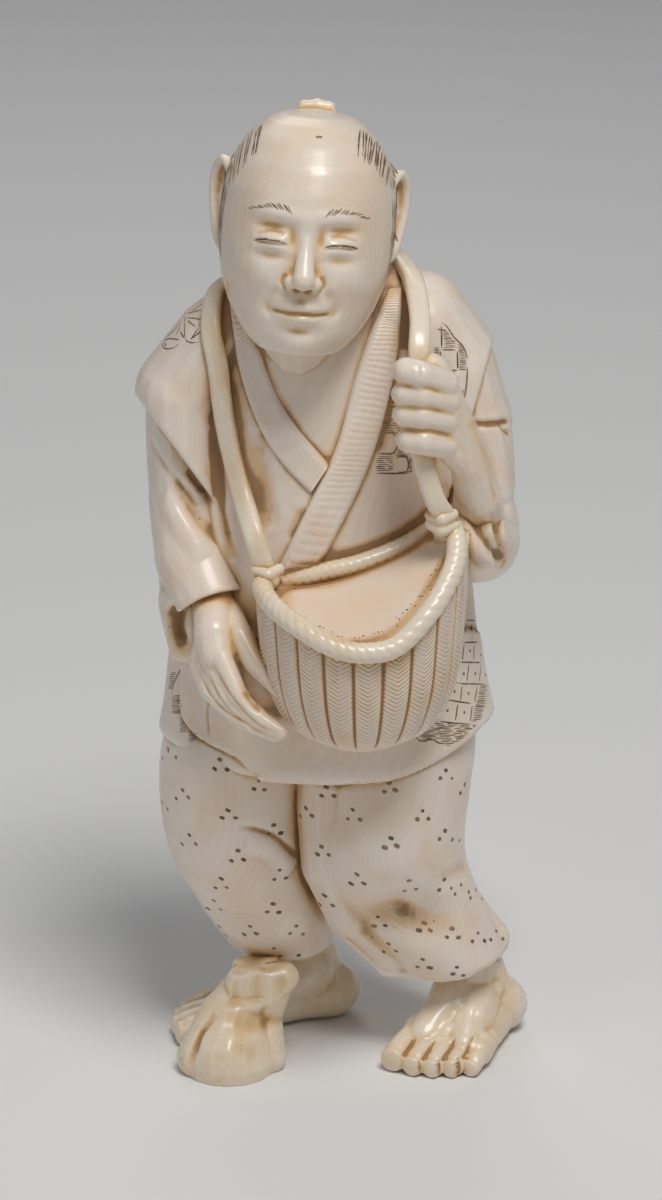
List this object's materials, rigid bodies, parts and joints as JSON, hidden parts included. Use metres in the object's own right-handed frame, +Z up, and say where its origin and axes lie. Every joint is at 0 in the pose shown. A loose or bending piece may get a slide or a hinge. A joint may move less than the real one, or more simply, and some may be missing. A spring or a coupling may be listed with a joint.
{
  "type": "okimono figure",
  "caption": "Carved standing figure of a villager in a jacket and wide trousers, steadying a basket that hangs from a strap, beside a small tree stump.",
  "frame": {"origin": "on the floor, under the middle of the figure's bounding box", "axes": "+Z up along the figure, -Y the way that it faces, +X to its own left"},
  "size_m": [0.0552, 0.0478, 0.141],
  "materials": {
    "body_ivory": "polished satin",
    "pale_ivory": "polished",
    "honey_ivory": "polished"
  },
  "bodies": {
    "root": {"jacket_body": "body_ivory", "head": "pale_ivory", "right_sleeve": "body_ivory", "left_sleeve": "body_ivory", "right_hand": "pale_ivory", "left_hand": "pale_ivory", "right_leg": "body_ivory", "left_leg": "body_ivory", "right_foot": "honey_ivory", "left_foot": "honey_ivory", "stump": "honey_ivory", "basket": "honey_ivory", "strap": "honey_ivory", "right_hip_peg": "pale_ivory", "left_hip_peg": "pale_ivory", "right_shoulder_peg": "pale_ivory", "left_shoulder_peg": "pale_ivory", "basket_pegs": "pale_ivory", "stump_peg": "pale_ivory"}
  },
  "joints": []
}
